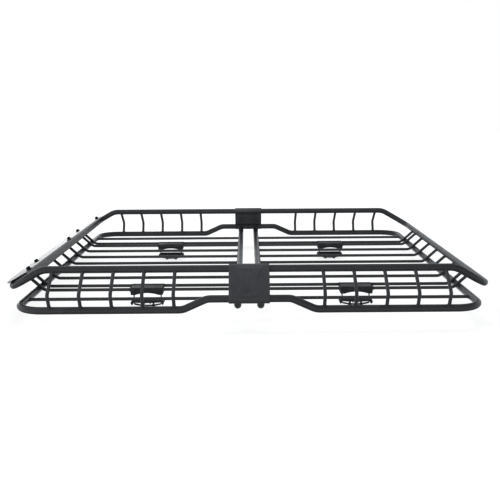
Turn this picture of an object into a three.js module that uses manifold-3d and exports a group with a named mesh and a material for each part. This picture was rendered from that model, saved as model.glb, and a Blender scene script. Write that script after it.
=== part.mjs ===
// Roof cargo basket: two welded halves of steel tube and rod, joined by side plates, carried on four
// crossbar mounts, with a wind fairing on the front end.
// Millimetres, +Z up, front of the car towards -X, left side of the car towards -Y.
import * as THREE from "three";
import { mergeVertices } from "three/addons/utils/BufferGeometryUtils.js";
import Module from "manifold-3d";

const wasm = await Module();
wasm.setup();

// ---- driving dimensions -------------------------------------------------------------------------
// Lengths are measured from the middle of the basket, heights from the plane of the floor rods.
const GAP = 0.3;                   // clearance between neighbouring pieces
const TUBE_R = 9.5;                // rails and cross tubes
const ROD_R = 4;                   // floor rods
const STRUT_R = 4.5;               // side struts
const COPE_R = TUBE_R + GAP + 0.1; // the hollow that a piece's end is coped to where it meets a tube
const TUBE_SIDES = 12;
const ROD_SIDES = 8;

const LOWER = { halfLength: 596, halfWidth: 600, corner: 70 };
const RAISE = { height: 28, flatTo: 107, slopeTo: 169, bend: 45 };      // lower rail lifted over the joint
const UPPER = { halfWidth: 553, sideZ: 96, bendX: 532, endX: 625, endZ: 43, corner: 70, bend: 60 };
const STRUT = { firstX: 190, pitch: 78.8, count: 5, kinkY: 619, kinkZ: 43, bend: 9 };
const CROSS = { x: 29.5, z: 4, bendY: 577, bend: 24 };

const SINGLE_PITCH = 110;          // floor rods in the middle of the floor
const PAIR_Y = 350;                // centre of a rod pair, which carries the mounts
const PAIR_HALF = 24.5;
const OUTER_Y = 482;
const RISE_ANGLE = THREE.MathUtils.degToRad(42);
const RISE_BEND = 24;

const PLATE = { width: 104, thickness: 2.7, hookOver: 150, hookUnder: 115 };
const BACKING = { width: 96, thickness: 2.5, face: 2.8 };
const PLATE_BOLT = { x: 28, shankR: 3, headR: 5.8, headHeight: 4, bossR: 8, grip: 5 };

const MOUNT_X = { front: -289.5, rear: 304 };
const SADDLE = {
  halfLength: 46.5, halfWidth: 30.8, top: 5.5, round: 3.5, lip: -4.5,
  bodyHalf: 46, bodyWidth: 39, foot: -18, footHalf: 45.5, archHalf: 33.5, archTop: -12.2,
};
const HANGER = { legX: 38.5, thickness: 2.2, width: 12, top: -8, knee: -45, floor: -51.6, kneeR: 3.5 };
const JAW = {
  topHalf: 43.5, top: -33, waistHalf: 47.5, waist: -41, width: 34,
  lugIn: 41, lugOut: 45.5, lugBottom: -47, webEnd: -40, webMiddle: -42,
};
const SCREW = { x: 16, shankR: 3, headR: 5.6, headHeight: 2.9, bite: 5 };

const FAIRING = {
  halfWidth: 543, above: 60, below: 41, thickness: 3, lift: 11.4, cornerLow: 200, cornerTop: 18, lip: 23,
};
const CLIP = { y: 280, width: 16, thickness: 1.2 };

// ---- materials ----------------------------------------------------------------------------------
function paint(color, roughness, metalness) {
  return new THREE.MeshStandardMaterial({ color, roughness, metalness });
}
const FINISH = {
  steel: () => paint(0x2e3032, 0.42, 0.35),
  plate: () => paint(0x414244, 0.55, 0.3),
  moulded: () => paint(0x2b2c2e, 0.6, 0),
  strap: () => paint(0x1c1d1f, 0.45, 0.4),
  bolt: () => paint(0x6b6d70, 0.35, 0.9),
  fairing: () => paint(0x101113, 0.12, 0),
};

// ---- geometry helpers ---------------------------------------------------------------------------
// A path that passes through given stations, each a point and a tangent, with no points in between.
class StationPath extends THREE.Curve {
  constructor(stations) {
    super();
    this.stations = stations;
  }
  station(t) {
    return this.stations[Math.round(t * (this.stations.length - 1))];
  }
  getPoint(t) {
    return this.station(t).point.clone();
  }
  getPointAt(t) {
    return this.getPoint(t);
  }
  getTangent(t) {
    return this.station(t).tangent.clone();
  }
  getTangentAt(t) {
    return this.getTangent(t);
  }
}

// Straight runs between the corners, with each corner rounded to its radius.
function filletStations(corners, radii, stepAngle) {
  const stations = [];
  const heading = (a, b) => b.clone().sub(a).normalize();
  stations.push({ point: corners[0], tangent: heading(corners[0], corners[1]) });
  for (let i = 1; i < corners.length - 1; i += 1) {
    const into = heading(corners[i - 1], corners[i]);
    const out = heading(corners[i], corners[i + 1]);
    const turn = into.angleTo(out);
    const reach = radii[i - 1] * Math.tan(turn / 2);
    const toCentre = out.clone().sub(into).normalize();
    const centre = corners[i].clone().addScaledVector(toCentre, radii[i - 1] / Math.cos(turn / 2));
    const axis = into.clone().cross(out).normalize();
    const start = corners[i].clone().addScaledVector(into, -reach).sub(centre);
    const steps = Math.max(2, Math.round(turn / stepAngle));
    for (let s = 0; s <= steps; s += 1) {
      const angle = (turn * s) / steps;
      const point = start.clone().applyAxisAngle(axis, angle).add(centre);
      stations.push({ point, tangent: into.clone().applyAxisAngle(axis, angle) });
    }
  }
  const last = corners.length - 1;
  stations.push({ point: corners[last], tangent: heading(corners[last - 1], corners[last]) });
  return stations;
}

function circleShape(radius, sides) {
  const points = [];
  for (let i = 0; i < sides; i += 1) {
    const angle = (2 * Math.PI * (i + 0.5)) / sides;
    points.push(new THREE.Vector2(radius * Math.cos(angle), radius * Math.sin(angle)));
  }
  return new THREE.Shape(points);
}

const TUBE_STEP = Math.PI / 12;
const ROD_STEP = Math.PI / 8;

function bar(corners, radii, radius, sides, stepAngle) {
  const stations = filletStations(corners, radii, stepAngle);
  const extrudePath = new StationPath(stations);
  return new THREE.ExtrudeGeometry(circleShape(radius, sides), { extrudePath, steps: stations.length - 1 });
}

const point = (x, y, z) => new THREE.Vector3(x, y, z);

// A flat outline made thick: extruded through `depth` and centred on it.
function slab(shape, depth, curveSegments = 6) {
  const geometry = new THREE.ExtrudeGeometry(shape, { depth, bevelEnabled: false, curveSegments });
  return geometry.translate(0, 0, -depth / 2);
}

// Outline axes (u, v) turned to the given directions in the basket; thickness runs along u x v.
function turned(geometry, u, v) {
  const w = u.clone().cross(v);
  return geometry.applyMatrix4(new THREE.Matrix4().makeBasis(u, v, w));
}

function toSolid(geometry) {
  const bare = geometry.clone();
  bare.deleteAttribute("normal");
  bare.deleteAttribute("uv");
  const merged = mergeVertices(bare, 1e-4);
  const vertProperties = new Float32Array(merged.attributes.position.array);
  const triVerts = new Uint32Array(merged.index.array);
  return new wasm.Manifold(new wasm.Mesh({ numProp: 3, vertProperties, triVerts }));
}

function fromSolid(solid) {
  const mesh = solid.getMesh();
  const geometry = new THREE.BufferGeometry();
  geometry.setAttribute("position", new THREE.BufferAttribute(new Float32Array(mesh.vertProperties), 3));
  geometry.setIndex(new THREE.BufferAttribute(new Uint32Array(mesh.triVerts), 1));
  geometry.computeVertexNormals();
  return geometry;
}

function cut(geometry, ...tools) {
  return fromSolid(tools.reduce((solid, tool) => solid.subtract(toSolid(tool)), toSolid(geometry)));
}

function join(geometry, ...more) {
  return fromSolid(more.reduce((solid, other) => solid.add(toSolid(other)), toSolid(geometry)));
}

function drum(radius, height, sides, bottom) {
  const geometry = new THREE.CylinderGeometry(radius, radius, height, sides);
  return geometry.rotateX(Math.PI / 2).translate(0, 0, bottom + height / 2);
}

// ---- assembly -----------------------------------------------------------------------------------
const basket = new THREE.Group();

function addPiece(name, geometry, finish, parent = basket) {
  const mesh = new THREE.Mesh(geometry, FINISH[finish]());
  mesh.name = name;
  parent.add(mesh);
  return mesh;
}

const HALVES = [{ name: "front", end: -1 }, { name: "rear", end: 1 }];
const SIDES = [{ name: "left", side: -1 }, { name: "right", side: 1 }];

// ---- rails --------------------------------------------------------------------------------------
function upperRail(end, radius) {
  const { halfWidth: w, sideZ, bendX, endX, endZ, corner, bend } = UPPER;
  const path = [
    point(end * GAP, -w, sideZ), point(end * bendX, -w, sideZ), point(end * endX, -w, endZ),
    point(end * endX, w, endZ), point(end * bendX, w, sideZ), point(end * GAP, w, sideZ),
  ];
  return bar(path, [bend, corner, corner, bend], radius, TUBE_SIDES, TUBE_STEP);
}

function lowerRailTube(end, radius) {
  const { halfLength: l, halfWidth: w, corner } = LOWER;
  const { height, flatTo, slopeTo, bend } = RAISE;
  const path = [
    point(end * GAP, -w, height), point(end * flatTo, -w, height), point(end * slopeTo, -w, 0),
    point(end * l, -w, 0), point(end * l, w, 0),
    point(end * slopeTo, w, 0), point(end * flatTo, w, height), point(end * GAP, w, height),
  ];
  return bar(path, [bend, bend, corner, corner, bend, bend], radius, TUBE_SIDES, TUBE_STEP);
}

// A side strut stands on the lower rail, kinks outwards and leans in to the upper rail.
function sideStrut(x, side) {
  const foot = point(x, side * LOWER.halfWidth, 0);
  const kink = point(x, side * STRUT.kinkY, STRUT.kinkZ);
  const rail = point(x, side * UPPER.halfWidth, UPPER.sideZ);
  return bar([foot, kink, rail], [STRUT.bend], STRUT_R, ROD_SIDES, ROD_STEP);
}

function lowerRail(end) {
  const struts = [];
  for (const { side } of SIDES) {
    for (let i = 0; i < STRUT.count; i += 1) {
      struts.push(sideStrut(end * (STRUT.firstX + i * STRUT.pitch), side));
    }
  }
  return cut(join(lowerRailTube(end, TUBE_R), ...struts), upperRail(end, COPE_R));
}

// The cross tube's ends turn up and are coped to the raised lower rails.
function crossTubeBar(end, radius) {
  const x = end * CROSS.x;
  const { bendY, z, bend } = CROSS;
  const path = [
    point(x, -LOWER.halfWidth, RAISE.height), point(x, -bendY, z),
    point(x, bendY, z), point(x, LOWER.halfWidth, RAISE.height),
  ];
  return bar(path, [bend, bend], radius, TUBE_SIDES, TUBE_STEP);
}

function crossTube(end) {
  return cut(crossTubeBar(end, TUBE_R), lowerRailTube(end, COPE_R));
}

for (const { name, end } of HALVES) {
  addPiece(`${name}_upper_rail`, upperRail(end, TUBE_R), "steel");
  addPiece(`${name}_lower_rail`, lowerRail(end), "steel");
  addPiece(`${name}_cross_tube`, crossTube(end), "steel");
}

// ---- floor rods ---------------------------------------------------------------------------------
const ROD_START = CROSS.x + TUBE_R + GAP;

// Rides over the lower end rail and climbs to the underside of the upper end rail.
function risingRod(end, y) {
  const climb = new THREE.Vector2(Math.cos(RISE_ANGLE), Math.sin(RISE_ANGLE));
  const kinkX = LOWER.halfLength - (TUBE_R + ROD_R + GAP) / climb.y;
  const along = (UPPER.endX - kinkX) * climb.x + UPPER.endZ * climb.y - TUBE_R - GAP;
  const path = [
    point(end * ROD_START, y, 0), point(end * kinkX, y, 0),
    point(end * (kinkX + along * climb.x), y, along * climb.y),
  ];
  return bar(path, [RISE_BEND], ROD_R, ROD_SIDES, ROD_STEP);
}

function outerRod(end, y) {
  const path = [point(end * ROD_START, y, 0), point(end * (LOWER.halfLength - TUBE_R - GAP), y, 0)];
  return bar(path, [], ROD_R, ROD_SIDES, ROD_STEP);
}

const RISING_Y = [
  -PAIR_Y - PAIR_HALF, -PAIR_Y + PAIR_HALF, -2 * SINGLE_PITCH, -SINGLE_PITCH, 0,
  SINGLE_PITCH, 2 * SINGLE_PITCH, PAIR_Y - PAIR_HALF, PAIR_Y + PAIR_HALF,
];

for (const { name, end } of HALVES) {
  addPiece(`${name}_floor_rod_1`, outerRod(end, -OUTER_Y), "steel");
  RISING_Y.forEach((y, i) => addPiece(`${name}_floor_rod_${i + 2}`, risingRod(end, y), "steel"));
  addPiece(`${name}_floor_rod_${RISING_Y.length + 2}`, outerRod(end, OUTER_Y), "steel");
}

// ---- joint plates -------------------------------------------------------------------------------
// Plate outlines use u up the slope from the lower rail's axis to the upper rail's, v outwards.
const railStep = new THREE.Vector2(UPPER.halfWidth - LOWER.halfWidth, UPPER.sideZ - RAISE.height);
const railSpan = railStep.length();

function onJoint(geometry, side) {
  const lean = railStep.clone().normalize();
  const u = point(0, side * lean.x, lean.y);
  const v = point(0, side * lean.y, -lean.x);
  return turned(geometry, u, v).translate(0, side * LOWER.halfWidth, RAISE.height);
}

function hookOutline() {
  const inner = TUBE_R + GAP;
  const outer = inner + PLATE.thickness;
  const up = Math.PI / 2;
  const over = up - THREE.MathUtils.degToRad(PLATE.hookOver);
  const under = up + THREE.MathUtils.degToRad(PLATE.hookUnder);
  const shape = new THREE.Shape();
  shape.absarc(railSpan, 0, outer, over, up, false);
  shape.absarc(0, 0, outer, up, under, false);
  shape.absarc(0, 0, inner, under, up, true);
  shape.absarc(railSpan, 0, inner, up, over, true);
  return shape;
}

function boltPlaces() {
  return [-1, 1].map((end) => ({ x: end * PLATE_BOLT.x, u: railSpan / 2 }));
}

// A round bar along v, from v = low to v = high, at a bolt's place in the plate's own axes.
function boltBar(radius, low, high, u, w, sides) {
  const geometry = new THREE.CylinderGeometry(radius, radius, high - low, sides);
  return geometry.translate(u, (low + high) / 2, w);
}

const WEB_FACE = TUBE_R + GAP;
const BOSS_FACE = BACKING.face + GAP;

function jointPlate(side) {
  let plate = slab(hookOutline(), PLATE.width, 8);
  const bosses = boltPlaces().map(({ x, u }) => boltBar(PLATE_BOLT.bossR, BOSS_FACE, WEB_FACE + 1, u, x, 12));
  plate = join(plate, ...bosses);
  const bores = boltPlaces().map(({ x, u }) => (
    boltBar(PLATE_BOLT.shankR + GAP, BOSS_FACE - 1, BOSS_FACE + PLATE_BOLT.grip + GAP, u, x, 12)));
  const notches = HALVES.map(({ end }) => crossTubeBar(end, COPE_R));
  return cut(onJoint(cut(plate, ...bores), side), ...notches);
}

function backingPlate(side) {
  const low = TUBE_R + 2 * GAP;
  const shape = new THREE.Shape();
  shape.moveTo(low, BACKING.face - BACKING.thickness);
  shape.lineTo(railSpan - low, BACKING.face - BACKING.thickness);
  shape.lineTo(railSpan - low, BACKING.face);
  shape.lineTo(low, BACKING.face);
  const holes = boltPlaces().map(({ x, u }) => (
    boltBar(PLATE_BOLT.shankR + GAP, -BACKING.face, 2 * BACKING.face, u, x, 12)));
  return onJoint(cut(slab(shape, BACKING.width), ...holes), side);
}

function plateBolt(end, side) {
  const place = boltPlaces()[end < 0 ? 0 : 1];
  const seat = BACKING.face - BACKING.thickness - GAP;
  const w = side * -place.x;
  const head = boltBar(PLATE_BOLT.headR, seat - PLATE_BOLT.headHeight, seat, place.u, w, 6);
  const shank = boltBar(PLATE_BOLT.shankR, seat - 1, BOSS_FACE + PLATE_BOLT.grip, place.u, w, 12);
  return onJoint(join(head, shank), side);
}

for (const { name, side } of SIDES) {
  addPiece(`${name}_joint_plate`, jointPlate(side), "plate");
  addPiece(`${name}_backing_plate`, backingPlate(side), "plate");
  for (const half of HALVES) {
    addPiece(`${name}_plate_bolt_${half.name}`, plateBolt(half.end, side), "bolt");
  }
}

// ---- crossbar mounts ----------------------------------------------------------------------------
// Mount outlines are drawn in X and Z and made thick along Y, about the middle of a rod pair.
const upright = (shape, depth, segments) => slab(shape, depth, segments).rotateX(Math.PI / 2);

// Each rod of the pair snaps into a round seat through a slightly narrower mouth underneath.
function rodSeats() {
  const reach = 2 * SADDLE.halfLength;
  const seatR = ROD_R + 2 * GAP;
  return [-PAIR_HALF, PAIR_HALF].flatMap((y) => {
    const seat = bar([point(-reach, y, 0), point(reach, y, 0)], [], seatR, TUBE_SIDES, ROD_STEP);
    const mouth = new THREE.BoxGeometry(2 * reach, 2 * (ROD_R - GAP), 2 * seatR);
    return [seat, mouth.translate(0, y, -seatR)];
  });
}

// The hanger strap hangs from the saddle, turns in at the knees and sags to the middle of its floor.
function hangerBand(grow) {
  const { legX, thickness, width, top, knee, floor, kneeR } = HANGER;
  const half = thickness / 2 + grow;
  const sag = 2 * floor - thickness - knee + kneeR;
  const shape = new THREE.Shape();
  const edge = (offset, dir) => {
    const leg = legX + offset;
    const shelf = leg - 2 * kneeR;
    const kneeEnd = knee - kneeR - offset;
    shape.lineTo(-dir * leg, top);
    shape.lineTo(-dir * leg, knee);
    shape.quadraticCurveTo(-dir * leg, kneeEnd, -dir * shelf, kneeEnd);
    shape.quadraticCurveTo(0, sag - offset, dir * shelf, kneeEnd);
    shape.quadraticCurveTo(dir * leg, kneeEnd, dir * leg, knee);
    shape.lineTo(dir * leg, top);
  };
  shape.moveTo(-legX - half, top);
  edge(half, 1);
  edge(-half, -1);
  return upright(shape, width + 2 * grow, 5);
}

// The saddle: a shell over both rods, and between them a narrower body that arches over the crossbar.
function saddle() {
  const { halfLength, halfWidth, top, round, lip, bodyHalf, bodyWidth } = SADDLE;
  const { foot, footHalf, archHalf, archTop } = SADDLE;
  const shellShape = new THREE.Shape();
  shellShape.moveTo(-halfLength, lip);
  shellShape.lineTo(-halfLength, top - round);
  shellShape.quadraticCurveTo(-halfLength, top, -halfLength + round, top);
  shellShape.lineTo(halfLength - round, top);
  shellShape.quadraticCurveTo(halfLength, top, halfLength, top - round);
  shellShape.lineTo(halfLength, lip);
  const bodyShape = new THREE.Shape();
  bodyShape.moveTo(-bodyHalf, 0);
  bodyShape.lineTo(-bodyHalf, lip);
  bodyShape.lineTo(-footHalf, foot);
  bodyShape.lineTo(-archHalf, foot);
  bodyShape.quadraticCurveTo(0, 2 * archTop - foot, archHalf, foot);
  bodyShape.lineTo(footHalf, foot);
  bodyShape.lineTo(bodyHalf, lip);
  bodyShape.lineTo(bodyHalf, 0);
  const whole = join(upright(shellShape, 2 * halfWidth, 8), upright(bodyShape, bodyWidth, 8));
  return cut(whole, ...rodSeats(), hangerBand(GAP));
}

function screwBars(radius, low, high, sides) {
  return [-1, 1].map((end) => drum(radius, high - low, sides, low).translate(end * SCREW.x, 0, 0));
}

function hanger() {
  return cut(hangerBand(0), ...screwBars(SCREW.shankR + 2 * GAP, HANGER.floor - 20, HANGER.floor + 10, 12));
}

// The jaw: flat on top under the crossbar, with a lug outside each hanger leg.
function jaw() {
  const { topHalf, top, waistHalf, waist, width, lugIn, lugOut, lugBottom, webEnd, webMiddle } = JAW;
  const shape = new THREE.Shape();
  shape.moveTo(-topHalf, top);
  shape.lineTo(-waistHalf, waist);
  shape.lineTo(-lugOut, lugBottom);
  shape.lineTo(-lugIn, lugBottom);
  shape.lineTo(-lugIn, webEnd);
  shape.quadraticCurveTo(0, 2 * webMiddle - webEnd, lugIn, webEnd);
  shape.lineTo(lugIn, lugBottom);
  shape.lineTo(lugOut, lugBottom);
  shape.lineTo(waistHalf, waist);
  shape.lineTo(topHalf, top);
  const slots = [-1, 1].map((end) => {
    const slot = new THREE.BoxGeometry(HANGER.thickness + 4 * GAP, HANGER.width + 4 * GAP, 40);
    return slot.translate(end * HANGER.legX, 0, top);
  });
  const bores = screwBars(SCREW.shankR + GAP, webMiddle - 10, webMiddle + SCREW.bite + GAP, 12);
  return cut(upright(shape, width, 8), ...slots, ...bores);
}

function clampScrew(end) {
  const seat = HANGER.floor - HANGER.thickness - GAP;
  const head = drum(SCREW.headR, SCREW.headHeight, 6, seat - SCREW.headHeight);
  const shank = drum(SCREW.shankR, JAW.webMiddle + SCREW.bite - seat + 1, 12, seat - 1);
  return join(head, shank).translate(end * SCREW.x, 0, 0);
}

for (const half of HALVES) {
  for (const { name: sideName, side } of SIDES) {
    const mount = new THREE.Group();
    mount.position.set(MOUNT_X[half.name], side * PAIR_Y, 0);
    basket.add(mount);
    const name = `${half.name}_${sideName}`;
    addPiece(`${name}_saddle`, saddle(), "moulded", mount);
    addPiece(`${name}_hanger`, hanger(), "strap", mount);
    addPiece(`${name}_jaw`, jaw(), "moulded", mount);
    addPiece(`${name}_screw_front`, clampScrew(-1), "bolt", mount);
    addPiece(`${name}_screw_rear`, clampScrew(1), "bolt", mount);
  }
}

// ---- wind fairing -------------------------------------------------------------------------------
// The panel lies on the sloping front end of the upper rail, with its upper edge folded down into a lip.
// Its outline uses u along the rail and v down the slope; thickness runs up from the rail.
const slope = new THREE.Vector2(UPPER.endX - UPPER.bendX, UPPER.endZ - UPPER.sideZ).normalize();

function fairingPanel() {
  const { halfWidth: w, above, below, thickness, lift, cornerLow, cornerTop, lip } = FAIRING;
  const shape = new THREE.Shape();
  shape.moveTo(-w + cornerTop, -above);
  shape.lineTo(w - cornerTop, -above);
  shape.quadraticCurveTo(w, -above, w, -above + cornerTop);
  shape.lineTo(w, -cornerTop);
  shape.bezierCurveTo(w, 0, w - cornerLow * 0.6, below, w - cornerLow, below);
  shape.lineTo(-w + cornerLow, below);
  shape.bezierCurveTo(-w + cornerLow * 0.6, below, -w, 0, -w, -cornerTop);
  shape.lineTo(-w, -above + cornerTop);
  shape.quadraticCurveTo(-w, -above, -w + cornerTop, -above);
  const middle = lift + thickness / 2;
  const panel = slab(shape, thickness, 6).translate(0, 0, middle);
  const foldDepth = lip - thickness / 2;
  const fold = new THREE.BoxGeometry(2 * (w - cornerTop), thickness, foldDepth);
  fold.translate(0, -above + thickness / 2, middle - foldDepth / 2);
  const down = point(-slope.x, 0, slope.y);
  return turned(join(panel, fold), point(0, 1, 0), down).translate(-UPPER.endX, 0, UPPER.endZ);
}

function fairingClip(side) {
  const ring = circleShape(TUBE_R + GAP + CLIP.thickness, 16);
  ring.holes.push(circleShape(TUBE_R + GAP, 16));
  return slab(ring, CLIP.width).rotateX(Math.PI / 2).translate(-UPPER.endX, side * CLIP.y, UPPER.endZ);
}

addPiece("fairing_panel", fairingPanel(), "fairing");
for (const { name, side } of SIDES) {
  addPiece(`fairing_clip_${name}`, fairingClip(side), "strap");
}

// ---- origin -------------------------------------------------------------------------------------
// The finished basket's origin is the middle of its footprint, at the level of its lowest screw heads.
const bounds = new THREE.Box3().setFromObject(basket);
const centre = bounds.getCenter(point(0, 0, 0));
basket.position.set(-centre.x, -centre.y, -bounds.min.z);

export default basket;
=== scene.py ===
"""Looks of the roof cargo basket: smooth tube and rod with weld beads, pressed joint plates, moulded
crossbar mounts, zinc screws and a half-gloss wind fairing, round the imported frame."""

import bmesh
import bpy
import math
import random
from mathutils import Matrix, Vector


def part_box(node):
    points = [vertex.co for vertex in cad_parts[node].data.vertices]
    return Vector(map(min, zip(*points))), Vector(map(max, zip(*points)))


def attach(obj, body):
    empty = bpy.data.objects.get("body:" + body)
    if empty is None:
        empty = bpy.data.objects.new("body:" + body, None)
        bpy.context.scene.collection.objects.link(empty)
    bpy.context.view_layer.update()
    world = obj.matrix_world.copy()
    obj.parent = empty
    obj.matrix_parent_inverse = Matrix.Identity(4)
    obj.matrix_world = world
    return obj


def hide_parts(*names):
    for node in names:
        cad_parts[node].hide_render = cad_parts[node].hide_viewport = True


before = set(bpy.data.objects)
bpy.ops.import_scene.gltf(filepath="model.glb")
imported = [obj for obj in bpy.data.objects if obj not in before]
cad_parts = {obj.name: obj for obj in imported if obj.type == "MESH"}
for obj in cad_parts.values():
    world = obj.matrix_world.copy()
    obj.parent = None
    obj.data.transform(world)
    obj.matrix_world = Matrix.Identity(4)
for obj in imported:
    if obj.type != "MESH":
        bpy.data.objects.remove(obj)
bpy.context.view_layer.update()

# ---- driving dimensions ------------------------------------------------------------------------
# Millimetres from the middle of the basket and the plane of its floor rods, as the frame is built.
MM = 0.001
GAP = 0.3                                            # clearance between pieces that touch
TUBE_R = 9.5
ROD_R = 4.4                                          # a little stouter than the frame's 4 mm rods
STRUT_R = 4.5
LOWER_LENGTH, LOWER_WIDTH, LOWER_CORNER = 596, 600, 70
RAISE_Z, RAISE_FLAT, RAISE_SLOPE, RAISE_BEND = 28, 107, 169, 45
UPPER_WIDTH, UPPER_Z, UPPER_BEND_X, UPPER_END_X, UPPER_END_Z = 553, 96, 532, 625, 43
UPPER_CORNER, UPPER_BEND = 70, 60
STRUT_X, STRUT_PITCH, STRUT_COUNT = 190, 78.8, 5
STRUT_KINK_Y, STRUT_KINK_Z, STRUT_BEND = 619, 43, 9
CROSS_X, CROSS_Z, CROSS_BEND_Y, CROSS_BEND = 29.5, 4, 577, 24
ROD_COUNT, PAIR_HALF = 11, 24.5
RISE_ANGLE, RISE_BEND = math.radians(42), 24
TUBE_SIDES, ROD_SIDES, STEP = 40, 20, math.radians(5)
HALVES = (("front", -1), ("rear", 1))
SIDES = (("left", -1), ("right", 1))

# Welds: how deep a bar's end runs into a tube's skin, and the radius of the bead round its foot.
STRUT_BITE, ROD_BITE, CROSS_BITE = 1.5, 1, 0.55 * TUBE_R
STRUT_WELD, ROD_WELD, TUBE_WELD = 1.7, 1.5, 1.9
REST_WELD, REST_WELD_HALF, REST_WELD_OFF, REST_WELD_STEPS = 2.0, 6.5, 3.2, 6
WELD_REACH = 20                                      # a bead is traced from this far back along its bar
ALONG_X, ALONG_Y, ALONG_Z = Vector((1, 0, 0)), Vector((0, 1, 0)), Vector((0, 0, 1))


def middle(node):
    """The centre of a CAD node's box, in metres."""
    low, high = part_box(node)
    return (low + high) / 2


ORIGIN = Vector((
    (middle("front_cross_tube").x + middle("rear_cross_tube").x) / 2,
    0.0,
    middle("front_floor_rod_1").z,
))
RNG = random.Random(7)


# ---- mesh helpers ------------------------------------------------------------------------------
class Shell:
    """Vertices (mm, in the basket's own frame) and faces of one piece while it is being built."""

    def __init__(self):
        self.verts = []
        self.faces = []

    def ring(self, points):
        start = len(self.verts)
        self.verts += [Vector(p) for p in points]
        return list(range(start, start + len(points)))

    def bridge(self, a, b):
        count = len(a)
        for i in range(count):
            j = (i + 1) % count
            self.faces.append((a[i], a[j], b[j], b[i]))

    def cap(self, ring, flip=False):
        self.faces.append(tuple(reversed(ring)) if flip else tuple(ring))

    def moved(self, matrix):
        self.verts = [matrix @ v for v in self.verts]
        return self

    def add(self, other):
        start = len(self.verts)
        self.verts += other.verts
        self.faces += [tuple(i + start for i in f) for f in other.faces]
        return self


def piece(name, shell, material, body, stands_for=(), sharp=None, bevel=0.0, origin=ORIGIN):
    """Makes a Blender object of a shell, rides it on a body and gives it its material and slot."""
    mesh = bpy.data.meshes.new(name)
    mesh.from_pydata([origin + v * MM for v in shell.verts], [], shell.faces)
    work = bmesh.new()
    work.from_mesh(mesh)
    bmesh.ops.recalc_face_normals(work, faces=work.faces)
    work.to_mesh(mesh)
    work.free()
    obj = bpy.data.objects.new(name, mesh)
    bpy.context.scene.collection.objects.link(obj)
    for polygon in mesh.polygons:
        polygon.use_smooth = True
    if sharp is not None:
        mesh.set_sharp_from_angle(angle=math.radians(sharp))
    if bevel:
        edge = obj.modifiers.new("edge", "BEVEL")
        edge.width = bevel * MM
        edge.segments = 3
        edge.limit_method = "ANGLE"
        edge.angle_limit = math.radians(35)
        edge.harden_normals = True
    mesh.materials.append(material)
    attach(obj, body)
    if stands_for:
        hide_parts(*stands_for)
    return obj


def fillet(corners, radii, step=STEP):
    """Stations (point, tangent) along straight runs whose corners are rounded to their radii."""
    corners = [Vector(c) for c in corners]
    stations = [(corners[0], (corners[1] - corners[0]).normalized())]
    for i, radius in enumerate(radii, start=1):
        into = (corners[i] - corners[i - 1]).normalized()
        out = (corners[i + 1] - corners[i]).normalized()
        turn = into.angle(out)
        centre = corners[i] + (out - into).normalized() * (radius / math.cos(turn / 2))
        start = corners[i] - into * (radius * math.tan(turn / 2)) - centre
        axis = into.cross(out).normalized()
        steps = max(3, round(turn / step))
        for s in range(steps + 1):
            spin = Matrix.Rotation(turn * s / steps, 3, axis)
            stations.append((centre + spin @ start, spin @ into))
    stations.append((corners[-1], (corners[-1] - corners[-2]).normalized()))
    return stations


def circle(point, side, up, radius, count):
    """Points round a circle that lies in the plane of two unit vectors."""
    turns = (2 * math.pi * k / count for k in range(count))
    return [point + side * (radius * math.cos(t)) + up * (radius * math.sin(t)) for t in turns]


def close(shell, rings):
    """Skins a run of rings and closes both of its ends."""
    for a, b in zip(rings, rings[1:]):
        shell.bridge(a, b)
    shell.cap(rings[0], flip=True)
    shell.cap(rings[-1])
    return shell


def sweep(stations, radius, sides, shell=None, chamfer=0.8):
    """A round bar along the stations, with slightly rounded ends."""
    shell = shell or Shell()
    across = stations[0][1].orthogonal().normalized()
    rings = []

    def section(point, heading, r):
        up = heading.cross(across).normalized()
        side = up.cross(heading).normalized()
        return shell.ring(circle(point, side, up, r, sides))

    first, last = stations[0], stations[-1]
    rings.append(section(first[0], first[1], radius - chamfer))
    rings.append(section(first[0] + first[1] * chamfer, first[1], radius))
    for point, heading in stations[1:-1]:
        across = heading.cross(across).cross(heading).normalized()
        rings.append(section(point, heading, radius))
    rings.append(section(last[0] - last[1] * chamfer, last[1], radius))
    rings.append(section(last[0], last[1], radius - chamfer))
    return close(shell, rings)


def bead(shell, path, radius, closed=True, sides=8):
    """A weld bead: a small rippled roll of metal along a path."""
    count = len(path)
    rings = []
    for i, point in enumerate(path):
        before = path[i - 1] if closed or i else point
        after = path[(i + 1) % count] if closed or i < count - 1 else point
        heading = (after - before).normalized()
        across = heading.orthogonal().normalized()
        up = heading.cross(across)
        swell = 1 + 0.16 * math.sin(i * 2.1) + RNG.uniform(-0.06, 0.06)
        if not closed:
            swell *= math.sin(math.pi * (i + 0.6) / (count + 0.2)) ** 0.5
        rings.append(shell.ring(circle(point, across, up, radius * swell, sides)))
    for a, b in zip(rings, rings[1:]):
        bridge_nearest(shell, a, b)
    if closed:
        bridge_nearest(shell, rings[-1], rings[0])
    else:
        shell.cap(rings[0], flip=True)
        shell.cap(rings[-1])


def bridge_nearest(shell, a, b):
    """Joins two rings after turning the second so that their vertices line up."""
    count = len(a)
    shift = min(range(count), key=lambda k: (shell.verts[a[0]] - shell.verts[b[k]]).length)
    shell.bridge(a, b[shift:] + b[:shift])


def butt_weld(shell, start, heading, bar_r, axis_point, axis, radius, count=28):
    """A bead round the foot of a bar that meets a tube: the line where the two skins cross."""
    side = heading.orthogonal().normalized()
    path = []
    for skin in circle(start, side, heading.cross(side), bar_r, count):
        off = skin - axis_point
        off -= axis * off.dot(axis)
        run = heading - axis * heading.dot(axis)
        a, b, c = run.dot(run), 2 * off.dot(run), off.dot(off) - TUBE_R**2
        root = max(b * b - 4 * a * c, 0.0)
        path.append(skin + heading * ((-b - math.sqrt(root)) / (2 * a)))
    bead(shell, path, radius)


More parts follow.
